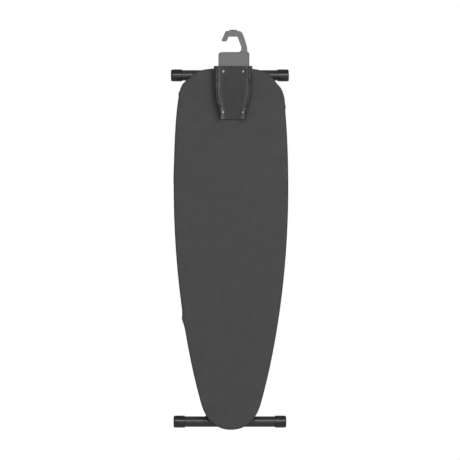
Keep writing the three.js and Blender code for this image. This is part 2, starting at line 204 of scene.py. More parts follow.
def maths(tree, operation, a, *others, clamp=False):   # with several others, one after the other
    for b in others or (0.0,):
        a = fromNode(tree, "ShaderNodeMath", [(0, a), (1, b)], operation=operation, use_clamp=clamp)
    return a


def scaled(tree, vector, factor):
    return fromNode(tree, "ShaderNodeVectorMath", [(0, vector), ("Scale", factor)], operation="SCALE")


def noise(tree, vector, scale, detail=3, roughness=0.55):
    return fromNode(tree, "ShaderNodeTexNoise", [
        ("Vector", vector), ("Scale", scale), ("Detail", detail), ("Roughness", roughness)])


def spread(tree, value, low, high, toLow=0.0, toHigh=1.0):
    return fromNode(tree, "ShaderNodeMapRange", enumerate((value, low, high, toLow, toHigh)))


# effects the materials share

def weaveGroup():
    group, given, out = newTree("plainWeave", "ShaderNodeTree", [
        ("Vector", "Vector", None), ("Thread", "Float", 0.0009), ("Color", "Color", (0.07, 0.07, 0.07, 1)),
        ("Mottle", "Float", 0.2),
    ], [("Color", "Color"), ("Height", "Float")])
    split = addNode(group, "ShaderNodeSeparateXYZ", [(0, given["Vector"])])
    u, v = (maths(group, "DIVIDE", split.outputs[k], given["Thread"]) for k in (0, 1))
    overU, overV = (maths(group, "ABSOLUTE", maths(group, "SINE", maths(group, "MULTIPLY", t, math.pi)))
                    for t in (u, v))
    parity = maths(group, "MODULO", maths(group, "ADD", maths(group, "FLOOR", u), maths(group, "FLOOR", v)), 2)
    parity = maths(group, "ABSOLUTE", parity)
    softU, softV = (maths(group, "ADD", maths(group, "MULTIPLY", over, 0.6), 0.4) for over in (overU, overV))
    warp = maths(group, "MULTIPLY", overU, softV, parity)
    weft = maths(group, "MULTIPLY", overV, softU, maths(group, "SUBTRACT", 1.0, parity))
    height = maths(group, "ADD", warp, weft)
    slub = maths(group, "MULTIPLY", noise(group, given["Vector"], 420, 2), 0.3)
    broad = maths(group, "MULTIPLY", noise(group, given["Vector"], 26, 4), given["Mottle"])
    shade = maths(group, "ADD", maths(group, "MULTIPLY", height, 0.22), slub, broad, 0.64)
    group.links.new(scaled(group, given["Color"], shade), out["Color"])
    group.links.new(height, out["Height"])
    return group


def grainGroup():
    group, given, out = newTree("surfaceGrain", "ShaderNodeTree", [
        ("Vector", "Vector", None), ("Fine", "Float", 900.0), ("Color", "Color", (0.1, 0.1, 0.1, 1)),
        ("Variation", "Float", 0.15), ("Roughness", "Float", 0.4), ("Smear", "Float", 0.1),
    ], [("Color", "Color"), ("Roughness", "Float"), ("Height", "Float")])
    fine = noise(group, given["Vector"], given["Fine"], 2)
    broad = maths(group, "SUBTRACT", noise(group, given["Vector"], 18, 5, 0.6), 0.5)
    smears = maths(group, "SUBTRACT", noise(group, given["Vector"], 60, 4, 0.7), 0.5)
    change = maths(group, "ADD", maths(group, "MULTIPLY", broad, given["Variation"], 2.0), 1.0)
    rough = maths(group, "MULTIPLY", smears, given["Smear"], 2.0)
    group.links.new(scaled(group, given["Color"], change), out["Color"])
    group.links.new(maths(group, "ADD", rough, given["Roughness"], clamp=True), out["Roughness"])
    group.links.new(fine, out["Height"])
    return group


def wearAndHighlightGroup():
    group, given, out = newTree("edgeWearAndHighlight", "ShaderNodeTree", [
        ("Color", "Color", (0.1, 0.1, 0.1, 1)), ("Worn And Highlight", "Color", (0.4, 0.4, 0.4, 1)), ("Amount", "Float", 0.5),
        ("Vector", "Vector", None),
    ], [("Color", "Color"), ("Mask", "Float")])
    # lighter colour on sharp edges, in patches: worn paint on most finishes, and painted highlight lines on the
    # holder's lip beads
    edge = spread(group, fromNode(group, "ShaderNodeNewGeometry", output="Pointiness"), 0.53, 0.62)
    patch = spread(group, noise(group, given["Vector"], 150, 4, 0.65), 0.42, 0.62)
    wearAndHighlightMask = maths(group, "MULTIPLY", edge, patch, given["Amount"], clamp=True)
    color = fromNode(group, "ShaderNodeMix", [(0, wearAndHighlightMask), (6, given["Color"]), (7, given["Worn And Highlight"])], 2,
                     data_type="RGBA")
    group.links.new(color, out["Color"])
    group.links.new(wearAndHighlightMask, out["Mask"])
    return group


weave = weaveGroup()
grain = grainGroup()
wearAndHighlight = wearAndHighlightGroup()


def newFinish(name):
    finish = bpy.data.materials.new(name)
    finish.use_nodes = True
    tree = finish.node_tree
    return finish, tree, tree.nodes["Principled BSDF"], addNode(tree, "ShaderNodeTexCoord")


def addBump(tree, shader, height, distance, strength):
    bump = fromNode(tree, "ShaderNodeBump", [("Height", height), ("Distance", distance), ("Strength", strength)])
    tree.links.new(bump, shader.inputs["Normal"])


def clothFinish(name, color, thread, mottle, depth):
    finish, tree, shader, where = newFinish(name)
    cloth = addNode(tree, "ShaderNodeGroup", [
        ("Vector", where.outputs["UV"]), ("Thread", thread), ("Color", (*color, 1)), ("Mottle", mottle)],
        node_tree=weave)
    paintedEdgeShadeFacing = fromNode(tree, "ShaderNodeLayerWeight", output="Facing")
    shade = spread(tree, paintedEdgeShadeFacing, 0.12, 0.8, 1.0, 0.45)   # painted shade: the cloth's colour is darkened where it turns away from the eye, so its edges read dark
    tree.links.new(scaled(tree, cloth.outputs["Color"], shade), shader.inputs["Base Color"])
    addBump(tree, shader, cloth.outputs["Height"], depth, 0.8)
    shader.inputs["Roughness"].default_value = 0.9
    shader.inputs["Specular IOR Level"].default_value = 0.25
    shader.inputs["Sheen Weight"].default_value = 0.04
    shader.inputs["Sheen Roughness"].default_value = 0.5
    return finish


def hardFinish(name, color, roughness, metallic=0.0, fine=900.0, depth=0.00006, variation=0.12, smear=0.08,
               wornAndHighlight=None, amount=0.4, stretch=(1, 1, 1), specular=0.5):
    finish, tree, shader, where = newFinish(name)
    mapping = fromNode(tree, "ShaderNodeMapping", [("Vector", where.outputs["Object"]), ("Scale", stretch)])
    skin = addNode(tree, "ShaderNodeGroup", [
        ("Vector", mapping), ("Fine", fine), ("Color", (*color, 1)), ("Variation", variation),
        ("Roughness", roughness), ("Smear", smear)], node_tree=grain)
    base = skin.outputs["Color"]
    if wornAndHighlight:
        base = fromNode(tree, "ShaderNodeGroup", [
            ("Vector", where.outputs["Object"]), ("Color", base), ("Worn And Highlight", (*wornAndHighlight, 1)), ("Amount", amount)],
            "Color", node_tree=wearAndHighlight)
    tree.links.new(base, shader.inputs["Base Color"])
    tree.links.new(skin.outputs["Roughness"], shader.inputs["Roughness"])
    addBump(tree, shader, skin.outputs["Height"], depth, 0.5)
    shader.inputs["Metallic"].default_value = metallic
    shader.inputs["Specular IOR Level"].default_value = specular
    return finish


coverCotton = clothFinish("charcoalCotton", (0.0595, 0.0595, 0.06), 0.0009, 0.34, 0.0002)
feltWool = hardFinish("greyFelt", (0.3, 0.29, 0.27), 0.95, fine=1600, depth=0.0004, variation=0.4, specular=0.1)
threadCotton = hardFinish("stitchThread", (0.055, 0.055, 0.056), 0.8, fine=2500, depth=0.0001, specular=0.2)
hookGrey = hardFinish("greyHookMoulding", (0.155, 0.157, 0.162), 0.62, fine=700, depth=0.0001, variation=0.1,
                      wornAndHighlight=(0.3, 0.3, 0.31), amount=0.5, specular=0.35)
# the light edge colour here paints highlight lines along the lip beads, on top of some wear
holderBlack = hardFinish("blackHolderMoulding", (0.013, 0.0135, 0.015), 0.26, fine=800, depth=0.00001, smear=0.04,
                         wornAndHighlight=(0.22, 0.22, 0.23), amount=0.8)
leverBlack = hardFinish("blackFineMoulding", (0.018, 0.018, 0.02), 0.5, fine=1200, depth=0.0001)
softRubber = hardFinish("mattRubber", (0.014, 0.014, 0.015), 0.75, fine=1500, depth=0.00015, specular=0.3)
capGloss = hardFinish("satinFootCap", (0.011, 0.011, 0.013), 0.31, fine=300, depth=0.000003, smear=0.02)
legCoat = hardFinish("satinLegCoat", (0.018, 0.019, 0.023), 0.36, fine=650, depth=0.00003, variation=0.06,
                     smear=0.04, wornAndHighlight=(0.12, 0.12, 0.125), amount=0.35)
frameCoat = hardFinish("frameCoat", (0.03, 0.031, 0.034), 0.45, fine=650, depth=0.00012,
                       wornAndHighlight=(0.2, 0.2, 0.2), amount=0.4)
zincPlate = hardFinish("zincPlate", (0.55, 0.56, 0.57), 0.34, metallic=0.95, fine=1400, depth=0.00005,
                       variation=0.2, smear=0.2, stretch=(1, 1, 0.15))
paintedRecessShade = hardFinish("recessShadow", (0.03, 0.03, 0.03), 0.7, metallic=0.4)
finishOf = {
    "hook_plastic": hookGrey, "holder_plastic": holderBlack, "lever_plastic": leverBlack, "rubber": softRubber,
    "foot_rubber": capGloss, "cover_fabric": coverCotton, "felt": feltWool, "frame_coating": frameCoat,
    "leg_coating": legCoat, "zinc_steel": zincPlate,
}
print("finishes made")


# the board's outline, from the cover's box

boardOutline = {
    "samples": 960,
    "curves": [   # half the outline, in mm: across from the centreline and down from the tail edge
        ((0, 3), (94.6, 3), (103.2, 6.2), (146.2, 50.2)),
        ((146.2, 50.2), (169.2, 73.8), (174, 277.1), (174, 361.5)),
        ((174, 361.5), (174, 671.5), (122.7, 908.1), (89.9, 1022.9)),
        ((89.9, 1022.9), (84.4, 1042.2), (63.7, 1100), (0, 1100)),
    ],
    "uneven": [(1, 49, 14, -4.5), (1, 96, 22, 2.6)],   # side, mm down from the tail, spread and mm outwards
}
coverLow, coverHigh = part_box("board_cover")
boardX = (coverLow[0] + coverHigh[0]) / 2
tailZ = coverHigh[2]
noseZ = coverLow[2]


def bell(distance, width):
    return np.exp(-(distance / width) ** 2)


def outwardNormals(points):
    along = np.roll(points, -1, 0) - np.roll(points, 1, 0)
    along /= np.linalg.norm(along, axis=1)[:, None]
    return np.stack([-along[:, 1], along[:, 0]], 1)


def outlineRing(settings):   # evenly spaced points, their outward normals, their reach along it and its length
    half = []
    for p0, p1, p2, p3 in settings["curves"]:
        for i in range(200):
            t = i / 200
            weights = ((1 - t) ** 3, 3 * (1 - t) ** 2 * t, 3 * (1 - t) * t * t, t ** 3)
            half.append([sum(w * p[k] for w, p in zip(weights, (p0, p1, p2, p3))) for k in (0, 1)])
    half.append(settings["curves"][-1][-1])
    half = np.array(half) * mm
    ring = np.vstack([half, (half[1:-1] * [-1, 1])[::-1]])
    loop = np.vstack([ring, ring[:1]])
    reach = np.concatenate([[0], np.cumsum(np.linalg.norm(np.diff(loop, axis=0), axis=1))])
    wanted = np.linspace(0, reach[-1], settings["samples"], endpoint=False)
    points = np.stack([np.interp(wanted, reach, loop[:, k]) for k in (0, 1)], 1)
    points[:, 0] += boardX
    points[:, 1] = tailZ - points[:, 1]
    for side, place, width, height in settings["uneven"]:
        bulge = height * mm * bell(tailZ - points[:, 1] - place * mm, width * mm)
        points += outwardNormals(points) * (bulge * (np.sign(points[:, 0] - boardX) == side))[:, None]
    return points, outwardNormals(points), wanted, reach[-1]


ringPoints, ringNormals, ringReach, ringLength = outlineRing(boardOutline)
ringCount = len(ringPoints)
ringTurn = 2 * np.pi * ringReach / ringLength   # runs from 0 to a whole turn round the outline
spineTop, spineFoot = tailZ - 165 * mm, noseZ + 95 * mm   # the line the rows of the cover and felt spread from
spinePoints = np.stack([np.full(ringCount, boardX), np.clip(ringPoints[:, 1], spineFoot, spineTop)], 1)


def ringRow(flat, y):
    return np.stack([flat[:, 0], np.broadcast_to(y, ringCount), flat[:, 1]], 1)


def ringShape(section):   # a closed section of (inset, y), carried round the board
    rows = [ringRow(ringPoints - ringNormals * inset, y) for inset, y in section]
    return np.concatenate(rows).tolist(), loopFaces(len(section), ringCount, True)


# board cover: one sheet drawn over the pad and gathered behind the rim by its hem

boardCover = {
    "cloth": 0.9 * mm,
    "edgeInset": 13 * mm,    # where the front starts to round over
    "edgeDrop": 6.5 * mm,
    "slack": 0.15 * mm,      # how far behind the front of its box the cloth lies
    "rearRound": 3.2 * mm,
    "lip": 23 * mm,
    "hem": 1.7 * mm,         # radius of the rolled hem
    "pucker": 2.1 * mm,      # height of the gathers behind the rim
    "cornerPucker": 1.6 * mm,
    "calmReach": 75 * mm,    # the hem lies flat this far along beside the lever's grip
    "creases": [(-1, 80, 6, 2.4), (1, 120, 7, 2.2), (-1, 765, 19, 3.4), (-1, 762, 6, 1.2), (-1, 330, 30, 0.7)],
}


def coverShape(settings):
    rng = random.Random(7)
    frontY, rearY = coverLow[1], coverHigh[1]
    waves = [(round(ringLength / (length * mm)), rng.uniform(0, 6.28), size)
             for length, size in ((11, 0.45), (14.5, 0.7), (19, 0.9), (27, 0.8), (43, 0.5))]

    def gather(shift):
        total = np.zeros(ringCount)
        for count, phase, size in waves:
            total += size * np.sin(count * ringTurn + phase + shift * count)
        return total / 1.7

    bend = np.arccos(np.clip((ringNormals * np.roll(ringNormals, 6, 0)).sum(1), -1, 1))
    tight = np.convolve(np.tile(bend / bend.max(), 3), np.ones(15) / 15, "same")[ringCount:2 * ringCount]
    across = np.sign(ringPoints[:, 0] - boardX)
    down = tailZ - ringPoints[:, 1]
    outward = np.zeros(ringCount)
    for side, place, width, height in settings["creases"]:
        outward += (across == side) * height * mm * bell(down - place * mm, width * mm)
    cornerZone = bell(down - 46 * mm, 22 * mm) * (np.abs(ringPoints[:, 0] - boardX) > 90 * mm)
    cornerZone += 0.5 * bell(down - 108 * mm, 22 * mm) * (across > 0)
    boost = 0.55 + 1.1 * tight
    grip = middle("lever_grip")
    besideGrip = bell(ringPoints[:, 1] - grip.z, settings["calmReach"]) * (across == np.sign(grip.x - boardX))
    pucker = settings["pucker"] * boost * (1 - 0.96 * besideGrip)
    radial = np.zeros(ringCount)
    for length, size, phase in ((11, 0.6, 1.0), (17, 0.5, 0.0), (71, 0.2, 0.0)):
        radial += size * np.sin(np.round(ringLength / (length * mm)) * ringTurn + phase)
    radial = np.clip(radial, -0.05, None)

    edge, drop, rearRound, hem = (settings[k] for k in ("edgeInset", "edgeDrop", "rearRound", "hem"))
    inner = ringPoints - ringNormals * edge
    faceY = frontY + settings["slack"]
    cornerLift = -cornerZone * settings["cornerPucker"] * radial
    rows, uvs = [], []
    run = 0.0   # how far the cloth has run past the front's edge

    def addRing(inset, y):
        rows.append(ringRow(ringPoints - ringNormals * inset[:, None], y))
        uvs.append(inner + ringNormals * run)

    for share in (0, 0.15, 0.3, 0.45, 0.6, 0.7, 0.78, 0.84, 0.88, 0.91, 0.94, 0.97, 1.0):   # front
        flat = spinePoints + share * (inner - spinePoints)
        soft = 0.12 * mm * np.sin(flat[:, 0] * 41 + 1.3) * np.sin(flat[:, 1] * 23)
        rows.append(ringRow(flat, faceY + soft + cornerLift * np.clip((share - 0.72) / 0.25, 0, 1)))
        uvs.append(flat.copy())
    for i in range(1, 9):   # rounded edge
        angle = math.pi / 2 * i / 8
        run = (edge + drop) * 0.78 * i / 8
        ripple = (outward + gather(0.0) * 0.12 * mm * boost) * i / 8
        y = faceY + drop * (1 - math.cos(angle)) + cornerLift * (1 - i / 8)
        addRing(edge * (1 - math.sin(angle)) - ripple, y)
    sideFrom, sideTo = faceY + drop, rearY - rearRound
    for share in (0.25, 0.5, 0.75, 1.0):   # side
        ripple = outward * (1 - 0.3 * share) + gather(0.0) * (0.12 + 0.3 * share) * mm * boost
        run += (sideTo - sideFrom) / 4
        addRing(0.2 * mm - ripple, sideFrom + (sideTo - sideFrom) * share)
    for i in range(1, 5):   # turn behind the rim
        angle = math.pi / 2 * i / 4
        run += rearRound * 0.39
        lift = gather(0.01) * pucker * 0.35 * i / 4
        addRing(rearRound * (1 - math.cos(angle)) - gather(0.002) * 0.4 * mm * boost,
                sideTo + rearRound * math.sin(angle) + lift)
    for i in range(1, 9):   # gathered lip
        share = i / 8
        run += (settings["lip"] - rearRound) / 8
        hemLift = gather(0.01 + 0.0006 * i) * pucker * (0.35 + 0.65 * share)
        hemInset = rearRound + (settings["lip"] - rearRound) * share + gather(0.03) * 1.1 * mm * share * boost
        addRing(hemInset, rearY + hemLift)
    for i in range(1, 8):   # rolled hem
        angle = 2 * math.pi * i / 8
        run += hem * 0.7
        addRing(hemInset + hem * math.sin(angle), rearY + hemLift - hem * (1 - math.cos(angle)))
    return np.concatenate(rows), np.concatenate(uvs), len(rows), hemInset, rearY + hemLift


def makeCover(settings):
    points, uvs, rows, hemInset, hemY = coverShape(settings)
    shape = points.tolist(), loopFaces(rows, ringCount)
    cover = makePiece("cover_cloth", shape, coverCotton, "board_cover", sharp=180)
    layer = cover.data.uv_layers.new(name="cloth")
    corners = np.array([loop.vertex_index for loop in cover.data.loops])
    layer.data.foreach_set("uv", uvs[corners].ravel())
    turnOutwards(cover, 0.02 * mm)
    if max(cover.data.polygons, key=lambda face: face.area).normal.y > 0:
        cover.data.flip_normals()
    thick = cover.modifiers.new("clothThickness", "SOLIDIFY")
    thick.thickness = settings["cloth"]
    thick.offset = -1
    return cover, hemInset, hemY


cover, hemInset, hemY = makeCover(boardCover)
print("cover made")


# Geometry Nodes: each tree is built here; the stitch and deck trees are baked into their pieces, the machined
# finish stays a live modifier on the CAD pieces

def newShapeTree(name, inputs):
    shape = ("Geometry", "Geometry")
    return newTree(name, "GeometryNodeTree", [(*shape, None), *inputs, ("Material", "Material", None)], [shape])


def endTree(tree, given, out, geometry):
    real = fromNode(tree, "GeometryNodeRealizeInstances", [("Geometry", geometry)])
    finish = fromNode(tree, "GeometryNodeSetMaterial", [("Geometry", real), ("Material", given["Material"])])
    tree.links.new(finish, out["Geometry"])
    return tree


def setInputs(modifier, values):
    for item in modifier.node_group.interface.items_tree:
        if item.in_out == "INPUT" and item.name in values:
            modifier[item.identifier] = values[item.name]


def bakeTree(name, points, edges, tree, values):   # the tree's result on loose points or edges
    guide = newObject(name + "Guide", [tuple(p) for p in points], [], edges)
    modifier = guide.modifiers.new(name, "NODES")
    modifier.node_group = tree
    setInputs(modifier, values)
    return finishedShape(guide)


def stitchTree():
    tree, given, out = newShapeTree("hemStitching", [
        ("Pitch", "Float", 0.004), ("Stitch Length", "Float", 0.0028), ("Thread Radius", "Float", 0.00035),
        ("Seed", "Int", 3),
    ])
    curve = fromNode(tree, "GeometryNodeMeshToCurve", [("Mesh", given["Geometry"])])
    spaced = fromNode(tree, "GeometryNodeResampleCurve", [("Curve", curve), ("Length", given["Pitch"])],
                      mode="LENGTH")
    tangent = fromNode(tree, "GeometryNodeInputTangent")
    facing = fromNode(tree, "FunctionNodeAlignRotationToVector", [("Vector", tangent)], axis="Z")
    stitch = fromNode(tree, "GeometryNodeMeshCylinder", [
        ("Vertices", 6), ("Side Segments", 1), ("Radius", given["Thread Radius"]),
        ("Depth", given["Stitch Length"])])
    ease = fromNode(tree, "FunctionNodeRandomValue", [("Seed", given["Seed"]), (2, 0.88), (3, 1.06)], 1,
                    data_type="FLOAT")
    return endTree(tree, given, out, fromNode(tree, "GeometryNodeInstanceOnPoints", [
        ("Points", spaced), ("Instance", stitch), ("Rotation", facing), ("Scale", ease)]))


def meshTree():
    tree, given, out = newShapeTree("expandedMetal", [
        ("Half Cell", "Float", 0.012), ("Half Rise", "Float", 0.005), ("Strand Width", "Float", 0.0014),
        ("Strand Depth", "Float", 0.0009),
    ])
    both = addNode(tree, "GeometryNodeJoinGeometry")
    for sign in (1, -1):
        rise = maths(tree, "MULTIPLY", given["Half Rise"], sign)
        tip = fromNode(tree, "ShaderNodeCombineXYZ", [("X", given["Half Cell"]), ("Z", rise)])
        tree.links.new(fromNode(tree, "GeometryNodeCurvePrimitiveLine", [("End", tip)]), both.inputs[0])
    band = fromNode(tree, "GeometryNodeCurvePrimitiveQuadrilateral",
                    [("Width", given["Strand Depth"]), ("Height", given["Strand Width"])])
    solid = fromNode(tree, "GeometryNodeCurveToMesh", [("Curve", both.outputs[0]), ("Profile Curve", band)])
    return endTree(tree, given, out, fromNode(tree, "GeometryNodeInstanceOnPoints", [
        ("Points", given["Geometry"]), ("Instance", solid)]))


def machinedTree():
    tree, given, out = newShapeTree("machinedFinish", [("Smooth Below", "Float", 0.6), ("Weld", "Float", 0.00001)])
    plain = fromNode(tree, "GeometryNodeRemoveAttribute",
                     [("Geometry", given["Geometry"]), ("Name", "custom_normal")])
    weld = fromNode(tree, "GeometryNodeMergeByDistance", [("Geometry", plain), ("Distance", given["Weld"])])
    angle = fromNode(tree, "GeometryNodeInputMeshEdgeAngle", output="Unsigned Angle")
    soft = fromNode(tree, "FunctionNodeCompare", [(0, angle), (1, given["Smooth Below"])],
                    data_type="FLOAT", operation="LESS_THAN")
    faces = fromNode(tree, "GeometryNodeSetShadeSmooth", [("Geometry", weld), ("Shade Smooth", True)],
                     domain="FACE")
    return endTree(tree, given, out, fromNode(tree, "GeometryNodeSetShadeSmooth", [
        ("Geometry", faces), ("Shade Smooth", soft)], domain="EDGE"))


# the stitches that hold the rolled hem

hemStitch = {"Pitch": 4 * mm, "Stitch Length": 2.7 * mm, "Thread Radius": 0.4 * mm, "Seed": 3}
seamInset = hemInset - 3.6 * mm
seamPath = ringRow(ringPoints - ringNormals * seamInset[:, None], hemY + 0.3 * mm)
ringEdges = [(i, (i + 1) % ringCount) for i in range(ringCount)]
stitches = bakeTree("hemStitches", seamPath, ringEdges, stitchTree(), {**hemStitch, "Material": threadCotton})
makePiece("hem_stitches", stitches, threadCotton, "board_cover", sharp=60, added=True)
print("hem stitched")


# felt pad, with a soft edge all round

feltPad = {"slope": 8 * mm, "inset": 1.9 * mm, "wander": 0.25 * mm}   # the front edge is pressed back by the cover


def makeFelt(settings):
    low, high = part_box("felt_pad")
    wander = settings["wander"] * (np.sin(ringTurn * 41) + np.sin(ringTurn * 67))
    rows = [ringRow(spinePoints, low[1])]
    for i in range(9):
        inset = settings["inset"] + settings["slope"] * (1 - i / 8) ** 2 + wander
        rows.append(ringRow(ringPoints - ringNormals * inset[:, None], low[1] + (high[1] - low[1]) * i / 8))
    rows.append(ringRow(spinePoints, high[1]))
    shape = np.concatenate(rows).tolist(), loopFaces(len(rows), ringCount)
    felt = makePiece("felt_layer", shape, feltWool, "felt_pad", sharp=180)
    turnOutwards(felt, 0.02 * mm)


makeFelt(feltPad)


# deck of expanded metal, welded into a flat border

deckMesh = {
    "halfCell": 12 * mm, "halfRise": 5 * mm, "strand": 1.5 * mm, "border": 15 * mm, "edge": 1.7 * mm,
    "reach": 180 * mm, "margin": 9 * mm,   # half the width it is laid over, and how far inside the edge it stops
}


def insideRing(x, z, inset):   # whether the point lies inside the outline by at least inset
    gaps = ringPoints - np.array([x, z])
    near = np.argmin((gaps ** 2).sum(1))
    return float((gaps[near] * ringNormals[near]).sum()) > inset


def makeDeck(settings):
    low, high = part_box("deck_panel")
    y = (low[1] + high[1]) / 2
    cell, rise, border = settings["halfCell"], settings["halfRise"], settings["border"]
    points = []
    for row in range(int((high[2] - low[2] - 2 * border) / rise) + 1):
        z = high[2] - border - row * rise
        for column in range(round(settings["reach"] / cell)):
            x = boardX - settings["reach"] + (2 * column + row % 2) * cell
            if insideRing(x, z, settings["margin"]) and insideRing(x + cell, z, settings["margin"]):
                points.append((x, y, z))
    strands = bakeTree("deckStrands", points, [], meshTree(), {
        "Half Cell": cell, "Half Rise": rise, "Strand Width": settings["strand"],
        "Strand Depth": high[1] - low[1], "Material": frameCoat})
    edge = settings["edge"]
    frameStrip = ringShape([(edge, low[1]), (border, low[1]), (border, high[1]), (edge, high[1])])
    makePiece("deck_mesh", together(strands, frameStrip), frameCoat, "deck_panel", sharp=30)
    return len(points)


print("deck strands:", makeDeck(deckMesh))


# rim channel round the board, its open side inwards

rimChannel = {"outer": 1.6 * mm, "wall": 1.3 * mm, "flange": 14 * mm, "corner": 3 * mm}


def makeRim(settings):
    low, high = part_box("rim_frame")
    front, rear = low[1], high[1]
    outer, wall, flange, corner = (settings[k] for k in ("outer", "wall", "flange", "corner"))
    small = corner - wall
    section = [(outer + flange, front)]
    for radius, steps, order in ((corner, 4, 1), (small, 3, -1)):   # round the outside, then back round the inside
        start = corner - radius
        arc = [(radius * (1 - sine), radius * (1 - cosine)) for sine, cosine in quarterTurn(steps)]
        turn = [(outer + start + x, front + start + y) for x, y in arc]
        turn += [(outer + start + x, rear - start - y) for x, y in arc[::-1]]
        section += turn[::order]
        if order == 1:
            section += [(outer + flange, rear), (outer + flange, rear - wall)]
    section.append((outer + flange, front + wall))
    makePiece("rim_channel", ringShape(section), frameCoat, "rim_frame", sharp=40)


makeRim(rimChannel)
print("frame made")


# feet: a tube with a moulded cap on each end

footTube = {"wall": 1.2 * mm, "chamfer": 0.3 * mm, "sides": 72}
footCap = {"rim": 2.6 * mm, "step": 0.4 * mm, "groove": 0.8 * mm, "edge": 3 * mm, "dome": 1.2 * mm, "depth": 5 * mm}


def makeCap(cap, tubeRadius, sign, settings):
    low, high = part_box(cap)
    reach, outer, bore = (high[0] - low[0]) / 2, (high[2] - low[2]) / 2, tubeRadius + 0.2 * mm
    edge, rim, dome, body = settings["edge"], settings["rim"], settings["dome"], outer + settings["step"]
    waist = outer - 0.9 * mm
    shoulder = reach - edge - rim
    profile = [(-reach, bore), (-reach, waist), (-reach + 0.25 * mm, outer - 0.3 * mm), (-reach + 0.7 * mm, outer),
               (-reach + rim, outer), (-reach + rim + 0.3 * mm, body), (shoulder - settings["groove"], body),
               (shoulder - settings["groove"] + 0.2 * mm, waist), (shoulder - 0.2 * mm, waist),
               (shoulder, outer - 0.1 * mm)]
    profile += [(reach - edge + edge * sine - dome * 0.5, outer - 0.1 * mm - edge * (1 - cosine))
                for sine, cosine in quarterTurn(6)]
    profile += [(reach - dome * 0.2, outer * 0.55), (reach, outer * 0.3), (reach, 0)]
    inside = [(reach - settings["depth"], 0), (reach - settings["depth"], bore), (-reach, bore)]
    sides = footTube["sides"]
    halves = [turned("x", middle(cap), [(sign * along, radius) for along, radius in half], sides)
              for half in (profile, inside)]
    shell = together(*[(points, faces[:-sides]) for points, faces in halves])
    turnOutwards(makePiece(cap + "_moulding", shell, capGloss, cap, sharp=32), 0.01 * mm)


def makeFoot(prefix, settings):
    tube = prefix + "_foot_tube"
    low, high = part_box(tube)
    half, radius = (high[0] - low[0]) / 2, (high[2] - low[2]) / 2
    chamfer, bore = settings["chamfer"], radius - settings["wall"]
    profile = [(-half, bore), (-half, radius - chamfer), (-half + chamfer, radius), (half - chamfer, radius),
               (half, radius - chamfer), (half, bore)]
    makePiece(prefix + "_foot_steel", turned("x", middle(tube), profile, settings["sides"]), legCoat, tube)
    makeCap(prefix + "_foot_cap_left", radius, -1, footCap)
    makeCap(prefix + "_foot_cap_right", radius, 1, footCap)


for prefix in ("outer", "inner"):
    makeFoot(prefix, footTube)


# leg tubes, round and smooth, with a weld bead where each meets its foot

legTube = {"wall": 1.1 * mm, "sides": 64, "open": 12 * mm}
weldBead = {"radius": 1.5 * mm, "ripple": 0.25 * mm, "ripples": 34, "steps": 150}
braceBead = {"radius": 1.2 * mm, "ripple": 0.2 * mm, "ripples": 20, "steps": 90}


def around(count):
    return [2 * math.pi * k / count for k in range(count)]


def makeLeg(node, footNode, sign, settings, bead):   # sign is 1 where the foot is below the leg
    low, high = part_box(node)
    centre, footZ = middle(node), middle(footNode).z
    radius = (high[0] - low[0]) / 2
    footLow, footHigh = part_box(footNode)
    footRadius = (footHigh[2] - footLow[2]) / 2

    def seat(angle):   # where the leg's wall meets the round foot
        return footZ + sign * math.sqrt(footRadius ** 2 - (radius * math.sin(angle)) ** 2)

    freeEnd = high[2] if sign > 0 else low[2]
    inside = radius - settings["wall"]
    rows = [(radius, None), (radius, freeEnd - sign * 0.4 * mm), (radius - 0.4 * mm, freeEnd), (inside, freeEnd),
            (inside, freeEnd - sign * settings["open"])]
    sides = settings["sides"]
    points = [(centre.x + reach * math.cos(angle), centre.y + reach * math.sin(angle),
               seat(angle) if level is None else level) for reach, level in rows for angle in around(sides)]
    ends = [tuple((len(rows) - 1) * sides + k for k in range(sides)), tuple(range(sides))]
    path = []
    for angle in around(bead["steps"]):
        reach = radius + 0.3 * mm + bead["ripple"] * math.sin(bead["ripples"] * angle)
        path.append((centre.x + reach * math.cos(angle), centre.y + reach * math.sin(angle),
                     seat(angle) + sign * 0.5 * mm))
    shape = together((points, loopFaces(len(rows), sides) + ends), swept(path, bead["radius"], 10, closed=True))
    makePiece(node + "_steel", shape, legCoat, node, sharp=45)
    return radius


for side in ("left", "right"):
    legRadius = makeLeg(f"outer_leg_tube_{side}", "outer_foot_tube", 1, legTube, weldBead)
    makeLeg(f"inner_leg_tube_{side}", "inner_foot_tube", -1, legTube, weldBead)


def makeBrace(node, legX, bead):   # legX is how far the legs' axes stand from the middle
    low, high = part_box(node)
    centre = middle(node)
    radius = (high[2] - low[2]) / 2
    half = (high[0] - low[0]) / 2 + 0.6 * mm
    bar = turned("x", centre, [(-half, 0), (-half, radius), (half, radius), (half, 0)], 40)
    beads = []
    for sign in (-1, 1):
        path = []
        for angle in around(bead["steps"]):
            y, z = (radius + 0.3 * mm) * math.cos(angle), (radius + 0.3 * mm) * math.sin(angle)
            inner = math.sqrt(legRadius ** 2 - min(y * y, legRadius ** 2 * 0.9))
            ripple = bead["ripple"] * math.sin(bead["ripples"] * angle)
            path.append((centre.x + sign * (legX - inner - 0.6 * mm + ripple), centre.y + y, centre.z + z))
        beads.append(swept(path, bead["radius"], 8, closed=True))
    makePiece(node + "_steel", together(bar, *beads), legCoat, node, sharp=45)


makeBrace("outer_leg_brace", 62 * mm, braceBead)
makeBrace("inner_leg_brace", 38 * mm, braceBead)
print("legs made")


# height lever and its torsion spring

leverWire = {"radius": 3 * mm, "bend": 12 * mm, "lean": math.radians(5.6), "grip": 72 * mm}
springWire = {"radius": 5.2 * mm, "wire": 0.7 * mm, "turns": 4.75, "steps": 110, "leg": 12.5 * mm, "end": 1.2 * mm}
leverY, leverZ = 36 * mm, middle("lever_saddle_inner").z   # the axis the lever turns on


